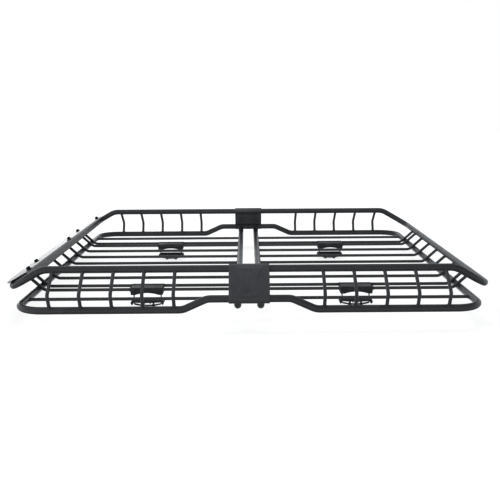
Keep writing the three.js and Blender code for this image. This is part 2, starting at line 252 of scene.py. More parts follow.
# ---- materials ---------------------------------------------------------------------------------
def new_material(name):
    """A node material with its tree and its Principled shader."""
    material = bpy.data.materials.new(name)
    material.use_nodes = True
    tree = material.node_tree
    return material, tree, tree.nodes["Principled BSDF"]


def noise_node(tree, scale, detail=4, stretch=None):
    """Fractal noise in metres: scale is in bumps per metre."""
    coords = tree.nodes.new("ShaderNodeTexCoord")
    noise = tree.nodes.new("ShaderNodeTexNoise")
    noise.inputs["Scale"].default_value = scale
    noise.inputs["Detail"].default_value = detail
    source = coords.outputs["Object"]
    if stretch:
        mapping = tree.nodes.new("ShaderNodeMapping")
        mapping.inputs["Scale"].default_value = stretch
        tree.links.new(source, mapping.inputs["Vector"])
        source = mapping.outputs["Vector"]
    tree.links.new(source, noise.inputs["Vector"])
    return noise.outputs["Fac"]


def ramp(tree, source, low, high, start=0.35, end=0.65):
    """Maps a 0 to 1 value onto low to high."""
    node = tree.nodes.new("ShaderNodeMapRange")
    node.inputs["From Min"].default_value = start
    node.inputs["From Max"].default_value = end
    node.inputs["To Min"].default_value = low
    node.inputs["To Max"].default_value = high
    tree.links.new(source, node.inputs["Value"])
    return node.outputs["Result"]


def mix_colour(tree, factor, first, second):
    """Between two colours, each a socket or three numbers, by a factor socket."""
    node = tree.nodes.new("ShaderNodeMix")
    node.data_type = "RGBA"
    tree.links.new(factor, node.inputs[0])
    for socket, value in ((node.inputs[6], first), (node.inputs[7], second)):
        if isinstance(value, tuple):
            socket.default_value = (*value, 1)
        else:
            tree.links.new(value, socket)
    return node.outputs[2]


def bump(tree, height, strength, distance, under=None):
    """A normal from a height, laid over another normal if there is one."""
    node = tree.nodes.new("ShaderNodeBump")
    node.inputs["Strength"].default_value = strength
    node.inputs["Distance"].default_value = distance
    tree.links.new(height, node.inputs["Height"])
    if under:
        tree.links.new(under, node.inputs["Normal"])
    return node.outputs["Normal"]


def edge_light(tree, low, high):
    """0 on flats and 1 on convex edges, from the surface's own pointiness."""
    geometry = tree.nodes.new("ShaderNodeNewGeometry")
    return ramp(tree, geometry.outputs["Pointiness"], 0.0, 1.0, low, high)


def powder_coat(name, colour, worn, roughness, grain, depth):
    """Satin powder coat: fine orange peel, slow tone changes and edges rubbed a little lighter."""
    material, tree, shader = new_material(name)
    tone = ramp(tree, noise_node(tree, 14, 3), 0.0, 1.0)
    base = mix_colour(tree, tone, colour, tuple(c * 1.28 for c in colour))
    base = mix_colour(tree, edge_light(tree, 0.53, 0.62), base, worn)
    tree.links.new(base, shader.inputs["Base Color"])
    tree.links.new(ramp(tree, noise_node(tree, 90, 4), roughness - 0.05, roughness + 0.07),
                   shader.inputs["Roughness"])
    peel = bump(tree, noise_node(tree, grain, 2), 0.35, depth)
    speck = bump(tree, noise_node(tree, grain * 4, 1), 0.2, depth * 0.4, peel)
    tree.links.new(speck, shader.inputs["Normal"])
    shader.inputs["Specular IOR Level"].default_value = 0.55
    return material


def moulded_plastic(name, colour, roughness):
    """Spark-grained nylon: a fine pebble texture and a slightly greyed skin."""
    material, tree, shader = new_material(name)
    cloudy = ramp(tree, noise_node(tree, 45, 5), 0.0, 1.0)
    base = mix_colour(tree, cloudy, colour, tuple(c * 1.5 + 0.004 for c in colour))
    tree.links.new(base, shader.inputs["Base Color"])
    tree.links.new(ramp(tree, noise_node(tree, 300, 3), roughness - 0.06, roughness + 0.08),
                   shader.inputs["Roughness"])
    pebble = tree.nodes.new("ShaderNodeTexVoronoi")
    pebble.inputs["Scale"].default_value = 1500
    coords = tree.nodes.new("ShaderNodeTexCoord")
    tree.links.new(coords.outputs["Object"], pebble.inputs["Vector"])
    tree.links.new(bump(tree, pebble.outputs["Distance"], 0.35, 0.00012), shader.inputs["Normal"])
    return material


def zinc(name):
    """Dull zinc plate: metal with cloudy tone and fine turning marks."""
    material, tree, shader = new_material(name)
    cloudy = ramp(tree, noise_node(tree, 160, 4), 0.0, 1.0)
    base = mix_colour(tree, cloudy, (0.26, 0.27, 0.29), (0.42, 0.42, 0.41))
    tree.links.new(base, shader.inputs["Base Color"])
    shader.inputs["Metallic"].default_value = 1.0
    tree.links.new(ramp(tree, noise_node(tree, 420, 4), 0.28, 0.5), shader.inputs["Roughness"])
    tree.links.new(bump(tree, noise_node(tree, 500, 3, (1, 1, 6)), 0.25, 0.00008), shader.inputs["Normal"])
    return material


def gloss_sheet(name):
    """Half-gloss black sheet with faint waviness, cloudy tone and hair scratches."""
    material, tree, shader = new_material(name)
    cloudy = ramp(tree, noise_node(tree, 8, 3), 0.0, 1.0)
    base = mix_colour(tree, cloudy, (0.010, 0.010, 0.011), (0.017, 0.017, 0.018))
    tree.links.new(base, shader.inputs["Base Color"])
    hairs = noise_node(tree, 60, 6, (1, 14, 1))
    tree.links.new(ramp(tree, hairs, 0.30, 0.38, 0.45, 0.75), shader.inputs["Roughness"])
    tree.links.new(bump(tree, noise_node(tree, 9, 2), 0.12, 0.0012), shader.inputs["Normal"])
    return material


STEEL = powder_coat("frame_coat", (0.031, 0.0322, 0.0345), (0.06, 0.062, 0.066), 0.30, 700, 0.00022)
PLATE = powder_coat("plate_coat", (0.052, 0.0535, 0.057), (0.10, 0.102, 0.108), 0.46, 520, 0.0004)
STRAP = powder_coat("strap_coat", (0.010, 0.0105, 0.0115), (0.05, 0.05, 0.052), 0.33, 900, 0.00012)
MOULDED = moulded_plastic("moulded_nylon", (0.017, 0.0175, 0.019), 0.5)
RUBBER = moulded_plastic("rubber", (0.008, 0.008, 0.0085), 0.72)
ZINC = zinc("zinc_plate")
GLOSS = gloss_sheet("fairing_gloss")


# ---- rails -------------------------------------------------------------------------------------
def upper_rail_path(end):
    """Along one side, down to the end, across it and back along the other side."""
    w = UPPER_WIDTH
    corners = [(end * GAP, -w, UPPER_Z), (end * UPPER_BEND_X, -w, UPPER_Z),
               (end * UPPER_END_X, -w, UPPER_END_Z), (end * UPPER_END_X, w, UPPER_END_Z),
               (end * UPPER_BEND_X, w, UPPER_Z), (end * GAP, w, UPPER_Z)]
    return fillet(corners, [UPPER_BEND, UPPER_CORNER, UPPER_CORNER, UPPER_BEND])


def lower_rail_path(end):
    """A flat U whose free ends climb to the joint plates."""
    w = LOWER_WIDTH
    side = [(end * GAP, -w, RAISE_Z), (end * RAISE_FLAT, -w, RAISE_Z),
            (end * RAISE_SLOPE, -w, 0), (end * LOWER_LENGTH, -w, 0)]
    corners = side + [(x, -y, z) for x, y, z in reversed(side)]
    return fillet(corners, [RAISE_BEND, RAISE_BEND, LOWER_CORNER, LOWER_CORNER, RAISE_BEND, RAISE_BEND])


def side_strut(shell, x, side):
    """One bent strut with its weld beads on the lower and the upper rail."""
    foot = Vector((x, side * LOWER_WIDTH, 0))
    kink = Vector((x, side * STRUT_KINK_Y, STRUT_KINK_Z))
    head = Vector((x, side * UPPER_WIDTH, UPPER_Z))
    down = (foot - kink).normalized()
    up = (head - kink).normalized()
    start = foot - down * (TUBE_R - STRUT_BITE)
    stop = head - up * (TUBE_R - STRUT_BITE)
    sweep(fillet([start, kink, stop], [STRUT_BEND]), STRUT_R, ROD_SIDES, shell)
    butt_weld(shell, kink, down, STRUT_R, foot, ALONG_X, STRUT_WELD)
    butt_weld(shell, kink, up, STRUT_R, head, ALONG_X, STRUT_WELD)


def rails():
    """Each half's upper rail, lower rail with its struts, and cross tube."""
    for name, end in HALVES:
        upper = sweep(upper_rail_path(end), TUBE_R, TUBE_SIDES)
        piece(f"{name}_upper_rail_tube", upper, STEEL, "root",
              [f"{name}_upper_rail"], sharp=40)
        lower = sweep(lower_rail_path(end), TUBE_R, TUBE_SIDES)
        for _, side in SIDES:
            for i in range(STRUT_COUNT):
                side_strut(lower, end * (STRUT_X + i * STRUT_PITCH), side)
        piece(f"{name}_lower_rail_and_struts", lower, STEEL, "root",
              [f"{name}_lower_rail"], sharp=40)
        cross_tube(name, end)


def cross_tube(name, end):
    """The tube across the basket that closes one half, bent up at both ends to the raised rail."""
    x = end * CROSS_X
    rail = Vector((x, LOWER_WIDTH, RAISE_Z))
    turn = Vector((x, CROSS_BEND_Y, CROSS_Z))
    heading = (rail - turn).normalized()
    stop = rail - heading * (TUBE_R - CROSS_BITE)
    corners = [(x, -stop.y, stop.z), (x, -turn.y, turn.z), turn, stop]
    shell = sweep(fillet(corners, [CROSS_BEND, CROSS_BEND]), TUBE_R, TUBE_SIDES)
    for _, side in SIDES:
        mirror = Matrix.Diagonal((1, side, 1))
        start, axis_point = mirror @ turn, mirror @ rail
        butt_weld(shell, start, mirror @ heading, TUBE_R, axis_point, ALONG_X, TUBE_WELD, count=48)
    piece(f"{name}_cross_tube_bar", shell, STEEL, "root", [f"{name}_cross_tube"], sharp=40)


# ---- floor rods --------------------------------------------------------------------------------
def floor_rods():
    """The rods along each half; the two outermost stop at the lower rail and the rest climb past it."""
    for name, end in HALVES:
        outwards = Vector((end, 0, 0))
        for number in range(1, ROD_COUNT + 1):
            node = f"{name}_floor_rod_{number}"
            y = middle(node).y / MM
            shell = Shell()
            start = Vector((end * (CROSS_X + TUBE_R - ROD_BITE), y, 0))
            if number in (1, ROD_COUNT):
                straight_rod(shell, start, end, y)
            else:
                rising_rod(shell, start, end, y)
            cross = Vector((end * CROSS_X, y, CROSS_Z))
            butt_weld(shell, start + outwards * WELD_REACH, -outwards, ROD_R, cross, ALONG_Y, ROD_WELD)
            piece(f"{node}_bar", shell, STEEL, "root", [node], sharp=40)


def straight_rod(shell, start, end, y):
    """Runs flat from the cross tube to the lower end rail."""
    outwards = Vector((end, 0, 0))
    stop = Vector((end * (LOWER_LENGTH - TUBE_R + ROD_BITE), y, 0))
    sweep([(start, outwards), (stop, outwards)], ROD_R, ROD_SIDES, shell)
    end_rail = Vector((end * LOWER_LENGTH, y, 0))
    butt_weld(shell, stop - outwards * WELD_REACH, outwards, ROD_R, end_rail, ALONG_Y, ROD_WELD)


def rising_rod(shell, start, end, y):
    """Rides over the lower end rail, where two short beads hold it, and climbs to the upper end rail."""
    climb = Vector((end * math.cos(RISE_ANGLE), 0, math.sin(RISE_ANGLE)))
    kink_x = LOWER_LENGTH - (TUBE_R + ROD_R + GAP) / climb.z
    kink = Vector((end * kink_x, y, 0))
    reach = (UPPER_END_X - kink_x) * abs(climb.x) + UPPER_END_Z * climb.z - TUBE_R + STRUT_BITE
    stop = kink + climb * reach
    sweep(fillet([start, kink, stop], [RISE_BEND]), ROD_R, ROD_SIDES, shell)
    upper_end = Vector((end * UPPER_END_X, y, UPPER_END_Z))
    butt_weld(shell, stop - climb * WELD_REACH, climb, ROD_R, upper_end, ALONG_Y, ROD_WELD)
    lower_end = Vector((end * LOWER_LENGTH, y, 0))
    touch = kink + climb * (lower_end - kink).dot(climb)
    skin = touch + (lower_end - touch).normalized() * ROD_R
    run = [REST_WELD_HALF * (k / REST_WELD_STEPS - 1) for k in range(2 * REST_WELD_STEPS + 1)]
    for _, side in SIDES:
        line = [skin + climb * t + ALONG_Y * (side * REST_WELD_OFF) for t in run]
        bead(shell, line, REST_WELD, closed=False)


# ---- joint plates ------------------------------------------------------------------------------
RAIL_STEP = Vector((UPPER_WIDTH - LOWER_WIDTH, UPPER_Z - RAISE_Z))
RAIL_SPAN = RAIL_STEP.length
PLATE_WIDTH, PLATE_T, PLATE_HOOK_OVER, PLATE_HOOK_UNDER = 104, 2.7, math.radians(150), math.radians(108)
PLATE_COLUMNS, OVER_ROWS, WEB_ROWS, UNDER_ROWS = 100, 24, 72, 20
PLATE_ROUND = 0.9                                    # how far the pressing's edges are rounded off
# The relief pressed in the web, as half widths in mm at its waist and at its ends; its pockets lie
# between two shares of the height from the plate's middle to a rail.
RELIEF, FIELD_WAIST, FIELD_FLARE, FIELD_TOP = 1.8, 20.5, 14, 0.98
POCKET_WAIST, POCKET_FLARE, POCKET_LOW, POCKET_TOP = 7, 7, 0.5, 0.86


def joint_axes(side):
    """Plate axes (u from the lower rail to the upper, v outwards, w along the rails) as a matrix."""
    lean = RAIL_STEP.normalized()
    u = Vector((0, side * lean.x, lean.y))
    v = Vector((0, side * lean.y, -lean.x))
    turn = Matrix((u, v, u.cross(v))).transposed().to_4x4()
    return Matrix.Translation((0, side * LOWER_WIDTH, RAISE_Z)) @ turn


def smooth_step(value, low, high):
    """0 below low and 1 above high, easing in between."""
    t = min(max((value - low) / (high - low), 0.0), 1.0)
    return t * t * (3 - 2 * t)


def waisted_relief(u, w):
    """Height of the pressed stiffening relief: a field with a narrow waist and two shallow pockets."""
    height = abs(u - RAIL_SPAN / 2) / (RAIL_SPAN / 2)
    half = FIELD_WAIST + FIELD_FLARE * smooth_step(height, 0.08, 1.0)
    field = smooth_step(half - abs(w), -1.2, 1.2) * smooth_step(FIELD_TOP - height, 0.0, 0.05)
    pocket_half = POCKET_WAIST + POCKET_FLARE * smooth_step(height, POCKET_LOW, 0.9)
    pocket = smooth_step(pocket_half - abs(w), -1.0, 1.0) * smooth_step(height, POCKET_LOW, 0.56)
    pocket *= smooth_step(POCKET_TOP - height, 0.0, 0.05)
    return RELIEF * field * (1 - pocket)


def plate_section():
    """Stations round the hook: (centre u, centre v, direction u, direction v, along-web u or None)."""
    stations = []
    for k in range(OVER_ROWS + 1):
        turn = math.pi / 2 - PLATE_HOOK_OVER * (1 - k / OVER_ROWS)
        stations.append((RAIL_SPAN, 0, math.cos(turn), math.sin(turn), None))
    for k in range(1, WEB_ROWS):
        u = RAIL_SPAN * (1 - k / WEB_ROWS)
        stations.append((u, 0, 0, 1, u))
    for k in range(UNDER_ROWS + 1):
        turn = math.pi / 2 + PLATE_HOOK_UNDER * k / UNDER_ROWS
        stations.append((0, 0, math.cos(turn), math.sin(turn), None))
    return stations


def quad_strip(shell, a, b):
    """Faces between two open rows of vertices."""
    for c in range(len(a) - 1):
        shell.faces.append((a[c], a[c + 1], b[c + 1], b[c]))


def joint_plate(name, side):
    """The pressing that hooks over the upper rail and under the lower, with its raised relief."""
    inner = TUBE_R + GAP
    stations = plate_section()
    shell = Shell()
    outside, inside = [], []
    for row, (cu, cv, du, dv, web) in enumerate(stations):
        end_gap = min(row, len(stations) - 1 - row)
        out_row, in_row = [], []
        for c in range(PLATE_COLUMNS + 1):
            w = PLATE_WIDTH * (c / PLATE_COLUMNS - 0.5)
            edge = min(PLATE_WIDTH / 2 - abs(w), end_gap, 1.0)
            soften = PLATE_ROUND * (1 - math.sqrt(max(0.0, 1 - (1 - edge) ** 2)))
            rise = waisted_relief(web, w) if web is not None else 0.0
            outer = inner + PLATE_T + rise - soften
            out_row.append(Vector((cu + du * outer, cv + dv * outer, w)))
            in_row.append(Vector((cu + du * inner, cv + dv * inner, w)))
        outside.append(shell.ring(out_row))
        inside.append(shell.ring(in_row))
    for rows in (outside, inside):
        for a, b in zip(rows, rows[1:]):
            quad_strip(shell, a, b)
    for c in (0, -1):
        quad_strip(shell, [row[c] for row in outside], [row[c] for row in inside])
    for r in (0, -1):
        quad_strip(shell, outside[r], inside[r])
    shell.moved(joint_axes(side))
    piece(f"{name}_joint_plate_pressing", shell, PLATE, "root",
          [f"{name}_joint_plate"], sharp=55)


def extrude(outline, depth, shell=None):
    """A closed outline of (a, b) points made into a prism: a along X, b along Z, depth along Y."""
    shell = shell or Shell()
    near = shell.ring([(a, -depth / 2, b) for a, b in outline])
    far = shell.ring([(a, depth / 2, b) for a, b in outline])
    shell.bridge(near, far)
    shell.cap(near, flip=True)
    shell.cap(far)
    return shell


# A rectangle's corners as signs of its two axes, each with the angle where the corner's arc starts.
CORNERS = ((1, 1, 0), (-1, 1, 90), (-1, -1, 180), (1, -1, 270))


def arc(centre, radius, start, stop, steps):
    """Points on a circle from one angle to another, in degrees."""
    turns = (math.radians(start + (stop - start) * k / steps) for k in range(steps + 1))
    return [(centre[0] + radius * math.cos(t), centre[1] + radius * math.sin(t)) for t in turns]


def bow(start, stop, sag, steps):
    """Points on a shallow parabola between two points, lowest or highest by sag at its middle."""
    points = []
    for k in range(steps + 1):
        t = k / steps
        a = start[0] + (stop[0] - start[0]) * t
        b = start[1] + (stop[1] - start[1]) * t
        points.append((a, b - sag * 4 * t * (1 - t)))
    return points


def turned_profile(profile, sides, shell=None):
    """A solid of revolution about Z from (radius, z) points, closed at both ends."""
    shell = shell or Shell()
    rings = []
    for radius, z in profile:
        rings.append(shell.ring(circle(Vector((0, 0, z)), ALONG_X, ALONG_Y, radius, sides)))
    return close(shell, rings)


def hex_head(shell, across_flats, low, high, chamfer=0.7):
    """A hexagon head whose outer corners are turned off to a round chamfer at its free end."""
    sides, corner = 48, across_flats / math.sqrt(3)

    def ring(z, limit):
        points = []
        for k in range(sides):
            turn = 2 * math.pi * k / sides
            flat = (turn + math.pi / 6) % (math.pi / 3) - math.pi / 6
            reach = min(across_flats / 2 / math.cos(flat), limit)
            points.append((reach * math.cos(turn), reach * math.sin(turn), z))
        return shell.ring(points)

    start = ring(low, corner - chamfer - 0.4)
    shoulder = ring(low + chamfer * 0.45, corner - 0.1)
    return close(shell, [start, shoulder, ring(high, corner)])


def thread(shell, radius, pitch, low, high, columns=24, rows_per_turn=6):
    """A screw thread: one helical ridge wound round the shank, run out to a chamfer at the tip."""
    rows = math.ceil((high - low) / pitch * rows_per_turn)
    depth = 0.6 * pitch
    rings = []
    for row in range(rows + 1):
        z = low + (high - low) * row / rows
        points = []
        for c in range(columns):
            turn = 2 * math.pi * c / columns
            phase = (z / pitch - c / columns) % 1.0
            cut = depth * (1 - abs(2 * phase - 1))
            reach = radius - cut - max(0.0, 0.8 - (high - z)) * 0.7
            points.append((reach * math.cos(turn), reach * math.sin(turn), z))
        rings.append(shell.ring(points))
    return close(shell, rings)


# ---- crossbar mounts ---------------------------------------------------------------------------
# Each mount is built round the middle of its rod pair: heights are from the plane of the rods.
SADDLE_HALF, SADDLE_TOP, LIP, SEAT_R, MOUTH, WALL = 46.5, 5.4, -4.5, 4.35, 3.7, 30.8
SADDLE_DIP, SADDLE_DIP_RUN, SADDLE_DIP_STEPS = 2.1, 9, 8
SADDLE_ENDS = ((0, 1.6), (0.5, 0.7), (1.6, 0.0))     # (distance from the end, how far the skin drops in)
BODY_HALF, BODY_DEPTH, FOOT, FOOT_HALF, ARCH_HALF, ARCH_TOP = 46, 39, -18, 45.5, 33.5, -12.2
LINER_ABOVE, LINER_BELOW, LINER_IN = 0.8, 1.2, 1
LEG_X, STRAP_T, STRAP_W, STRAP_TOP, KNEE, FLOOR, KNEE_R = 38.5, 2.2, 12, -8, -45, -51.6, 3.5
KNEE_TURN, STRAP_ROUND = 76, 0.7
JAW_TOP, JAW_TOP_HALF, JAW_WAIST, JAW_WAIST_HALF, JAW_DEPTH = -33, 43.5, -41, 47.5, 34
LUG_IN, LUG_OUT, LUG_BOTTOM, WEB_END, WEB_MIDDLE = 41, 45.5, -47, -40, -42
RIB_X, RIB_ROOT, RIB_TIP, RIB_DEEP = 8, 1.3, 1.0, 4
PAD_T, PAD_PITCH, PAD_ROOT, PAD_CREST, PAD_GROOVE = 0.8, 2.9, 0.9, 0.5, 0.7
SCREW_X, SCREW_R, SCREW_PITCH, SCREW_TIP, SCREW_FLATS, HEAD_T = 16, 3, 1.0, -37, 9.2, 2.9


def mount_origin(half, side):
    """The middle of a mount's rod pair at the height of the rods, in metres."""
    centre = middle(f"{half}_{side}_saddle")
    return Vector((centre.x, centre.y, ORIGIN.z))


def saddle_section():
    """The shell over the two rods, seen along them: a hump over each rod and a shallow web between."""
    right = [(WALL - 0.6, LIP), (WALL, LIP + 0.6)]
    hump = WALL - PAIR_HALF
    right += [(PAIR_HALF + hump * a, SADDLE_TOP * b) for a, b in arc((0, 0), 1, 0, 90, 10)]
    for k in range(1, SADDLE_DIP_STEPS + 1):
        t = k / SADDLE_DIP_STEPS
        right.append((PAIR_HALF - SADDLE_DIP_RUN * t, SADDLE_TOP - SADDLE_DIP * smooth_step(t, 0.1, 1.0)))
    left = [(-y, z) for y, z in reversed(right)]
    under = []
    mouth_turn = math.degrees(math.acos(MOUTH / SEAT_R))
    for centre in (-PAIR_HALF, PAIR_HALF):
        under.append((centre - MOUTH, LIP))
        under += arc((centre, 0), SEAT_R, 180 + mouth_turn, -mouth_turn, 22)
        under.append((centre + MOUTH, LIP))
    return right + left + under


def saddle_shell():
    """The section drawn out along the rods, its upper skin rounded off at both ends."""
    shell = Shell()
    rings = []
    left = [(-SADDLE_HALF + back, drop) for back, drop in SADDLE_ENDS]
    for x, drop in left + [(-x, drop) for x, drop in reversed(left)]:
        points = []
        for y, z in saddle_section():
            over_seat = abs(abs(y) - PAIR_HALF) <= SEAT_R + 0.2 and z <= SEAT_R + 0.2
            on_top = 0.0 if over_seat else smooth_step(z, -3.0, 3.0)
            points.append((x, y * (1 - drop * on_top / WALL * 0.5), z - drop * on_top * 0.9))
        rings.append(shell.ring(points))
    return close(shell, rings)


def saddle(name, origin, body):
    """The shell over the rods, the arched block under them and the rubber under that."""
    piece(f"{name}_saddle_shell", saddle_shell(), MOULDED, body, [f"{name}_saddle"], sharp=40,
          origin=origin)
    foot = FOOT + LINER_BELOW
    arch = bow((-ARCH_HALF, foot), (ARCH_HALF, foot), FOOT - ARCH_TOP, 20)
    outline = [(-BODY_HALF, 0), (-BODY_HALF, LIP), (-FOOT_HALF, foot)] + arch
    outline += [(FOOT_HALF, foot), (BODY_HALF, LIP), (BODY_HALF, 0)]
    piece(f"{name}_saddle_arch", extrude(outline, BODY_DEPTH), MOULDED, body, sharp=30,
          bevel=1.1, origin=origin)
    half, top = FOOT_HALF - LINER_IN, foot + LINER_ABOVE
    liner = [(-half, top)] + [(x, z + LINER_ABOVE) for x, z in arch] + [(half, top)]
    liner += [(half, FOOT)] + [(x, z - LINER_BELOW) for x, z in reversed(arch)] + [(-half, FOOT)]
    piece(f"{name}_saddle_liner", extrude(liner, BODY_DEPTH - 4), RUBBER, body, sharp=30,
          bevel=0.4, origin=origin)


def hanger_path():
    """The strap's middle line from the top of one leg, round both knees and back up the other."""
    centre = (LEG_X - KNEE_R, KNEE)
    right = [(LEG_X, STRAP_TOP), (LEG_X, (STRAP_TOP + KNEE) / 2), (LEG_X, KNEE)]
    right += arc(centre, KNEE_R, 0, -KNEE_TURN, 8)[1:]
    last = right[-1]
    middle_z = FLOOR - STRAP_T / 2
    sagging = bow(last, (-last[0], last[1]), last[1] - middle_z, 26)[1:-1]
    return right + sagging + [(-x, z) for x, z in reversed(right)]


def hanger(name, origin, body):
    """The strap: a band of steel with rounded edges bent round in one piece."""
    path = hanger_path()
    shell = Shell()
    rings = []
    section = []
    for sy, sn, start in CORNERS:
        corner = (sy * (STRAP_W / 2 - STRAP_ROUND), sn * (STRAP_T / 2 - STRAP_ROUND))
        section += arc(corner, STRAP_ROUND, start, start + 90, 3)
    for i, (x, z) in enumerate(path):
        before = path[max(i - 1, 0)]
        after = path[min(i + 1, len(path) - 1)]
        run = Vector((after[0] - before[0], after[1] - before[1])).normalized()
        rings.append(shell.ring([(x - run.y * n, y, z + run.x * n) for y, n in section]))
    close(shell, rings)
    piece(f"{name}_hanger_strap", shell, STRAP, body, [f"{name}_hanger"], sharp=40,
          origin=origin)


def jaw_pad():
    """The rubber strip on the jaw's upper face, ribbed across the crossbar."""
    half = JAW_TOP_HALF - 3
    ridges = int(half // PAD_PITCH)
    outline = [(-half, JAW_TOP - 2 * PAD_T)]
    for x in (k * PAD_PITCH for k in range(-ridges, ridges + 1)):
        outline += [(x - PAD_ROOT, JAW_TOP - PAD_GROOVE), (x - PAD_CREST, JAW_TOP)]
        outline += [(x + PAD_CREST, JAW_TOP), (x + PAD_ROOT, JAW_TOP - PAD_GROOVE)]
    outline.append((half, JAW_TOP - 2 * PAD_T))
    return extrude(outline, JAW_DEPTH - 5)


def jaw(name, origin, body):
    """The block drawn up by the screws, two ribs under it and the rubber on its face."""
    web = bow((-LUG_IN, WEB_END), (LUG_IN, WEB_END), WEB_END - WEB_MIDDLE, 16)
    right = [(LUG_IN, LUG_BOTTOM), (LUG_OUT, LUG_BOTTOM)]
    right += [(JAW_WAIST_HALF, JAW_WAIST), (JAW_TOP_HALF, JAW_TOP - PAD_T)]
    left = [(-x, z) for x, z in reversed(right)]
    shell = extrude(left + web + right, JAW_DEPTH)
    piece(f"{name}_jaw_block", shell, MOULDED, body, [f"{name}_jaw"], sharp=30, bevel=1.0,
          origin=origin)
    ribs = Shell()
    root, tip = WEB_MIDDLE + 1, WEB_MIDDLE - RIB_DEEP
    for x in (-RIB_X, RIB_X):
        rib = [(x - RIB_ROOT, root), (x + RIB_ROOT, root), (x + RIB_TIP, tip), (x - RIB_TIP, tip)]
        extrude(rib, JAW_DEPTH - 10, ribs)
    piece(f"{name}_jaw_ribs", ribs, MOULDED, body, bevel=0.4, origin=origin)
    piece(f"{name}_jaw_pad", jaw_pad(), RUBBER, body, sharp=20, origin=origin)


def clamp_screw(node, origin, body, end):
    """A flanged hexagon screw standing in the strap's floor, threaded up into the jaw."""
    shell = Shell()
    seat = FLOOR - STRAP_T - GAP
    hex_head(shell, SCREW_FLATS, seat - HEAD_T, seat - 0.8)
    turned_profile([(5.0, seat - 1.1), (5.6, seat - 0.8), (5.6, seat - 0.35), (5.2, seat)], 40, shell)
    thread(shell, SCREW_R, SCREW_PITCH, seat - 0.5, SCREW_TIP)
    shell.moved(Matrix.Translation((end * SCREW_X, 0, 0)))
    piece(f"{node}_threaded", shell, ZINC, body, [node], sharp=35, origin=origin)


def crossbar_mounts():
    """A saddle, hanger, jaw and two screws at each of the four mounts, each riding on its own body."""
    for half, _ in HALVES:
        for side, _ in SIDES:
            name = f"{half}_{side}"
            origin = mount_origin(half, side)
            saddle(name, origin, f"{name}_mount")
            hanger(name, origin, f"{name}_mount")
            jaw(name, origin, f"{name}_clamp_jaw")
            for end_name, end in HALVES:
                node = f"{name}_screw_{end_name}"
                clamp_screw(node, origin, f"{name}_clamp_screw_{end_name}", end)


# ---- plate fasteners ---------------------------------------------------------------------------
BACKING_FACE, BACKING_T, BACKING_WIDTH, BACKING_CLEAR = 2.8, 2.5, 96, 0.6
BOLT_W, BOLT_FLATS, HEX_LOW, HEX_HIGH, BOLT_R, BOLT_END = 28, 10, -4.0, -0.9, 3, 10


def rounded_plate(shell, u_low, u_high, v_low, v_high, width, corner=5, edge=0.5):
    """A flat plate with round corners and broken edges, in plate axes."""
    middle_u, half_u, half_w = (u_low + u_high) / 2, (u_high - u_low) / 2, width / 2
    rings = []
    for v, inset in ((v_low, edge), (v_low + edge, 0), (v_high - edge, 0), (v_high, edge)):
        outline = []
        for su, sw, start in CORNERS:
            centre = (middle_u + su * (half_u - corner), sw * (half_w - corner))
            outline += arc(centre, corner - inset, start, start + 90, 5)
        rings.append(shell.ring([(u, v, w) for u, w in outline]))
    return close(shell, rings)


def plate_fasteners(name, side):
    """The backing plate inside a joint plate and the two bolts that draw them together."""
    axes = joint_axes(side)
    low, back = TUBE_R + BACKING_CLEAR, BACKING_FACE - BACKING_T
    shell = rounded_plate(Shell(), low, RAIL_SPAN - low, back, BACKING_FACE, BACKING_WIDTH)
    piece(f"{name}_backing_plate_pressing", shell.moved(axes), PLATE, "root",
          [f"{name}_backing_plate"], sharp=40)
    along_v = Matrix(((0, 1, 0), (0, 0, 1), (1, 0, 0))).to_4x4()
    for end_name, end in HALVES:
        bolt = Shell()
        hex_head(bolt, BOLT_FLATS, HEX_LOW, HEX_HIGH)
        turned_profile([(6.0, -1.2), (6.6, -0.9), (6.6, -0.2), (6.2, 0)], 40, bolt)
        turned_profile([(BOLT_R, -1), (BOLT_R, BOLT_END)], 20, bolt)
        place = Matrix.Translation((RAIL_SPAN / 2, back - GAP, side * -end * BOLT_W))
        bolt.moved(axes @ place @ along_v)
        piece(f"{name}_plate_bolt_{end_name}_hex", bolt, PLATE, "root",
              [f"{name}_plate_bolt_{end_name}"], sharp=35)


# ---- wind fairing ------------------------------------------------------------------------------
PANEL_HALF, PANEL_ABOVE, PANEL_BELOW, PANEL_T, PANEL_LIFT = 543, 60, 41, 3, 11.4
PANEL_LOW_CORNER, PANEL_TOP_CORNER, PANEL_LIP, FOLD_R, SHEET_EDGE = 200, 18, 23, 7, 1.2
STUD_R, STUD_HEIGHT, UPPER_STUDS, UPPER_STUD_Y = 5.6, 8, (-475, 0, 475), -52
LOWER_STUDS, LOWER_STUD_Y = (-280, 280), -15
CLIP_Y, CLIP_HALF, CLIP_T, CLIP_EDGE = 280, 8, 1.2, 0.25
SLOPE = Vector((UPPER_END_X - UPPER_BEND_X, UPPER_END_Z - UPPER_Z)).normalized()


def fairing_axes():
    """Panel axes: X along the rail (the basket's +Y), Y down the slope, Z out of the face."""
    down = Vector((-SLOPE.x, 0, SLOPE.y))
    along = Vector((0, 1, 0))
    turn = Matrix((along, down, along.cross(down))).transposed().to_4x4()
    return Matrix.Translation((-UPPER_END_X, 0, UPPER_END_Z)) @ turn


def bezier(a, b, c, d, steps):
    """Points on a cubic curve after its start."""
    points = []
    for k in range(1, steps + 1):
        t = k / steps
        weights = ((1 - t) ** 3, 3 * t * (1 - t) ** 2, 3 * t * t * (1 - t), t**3)
        points.append(tuple(sum(w * p[i] for w, p in zip(weights, (a, b, c, d))) for i in (0, 1)))
    return points


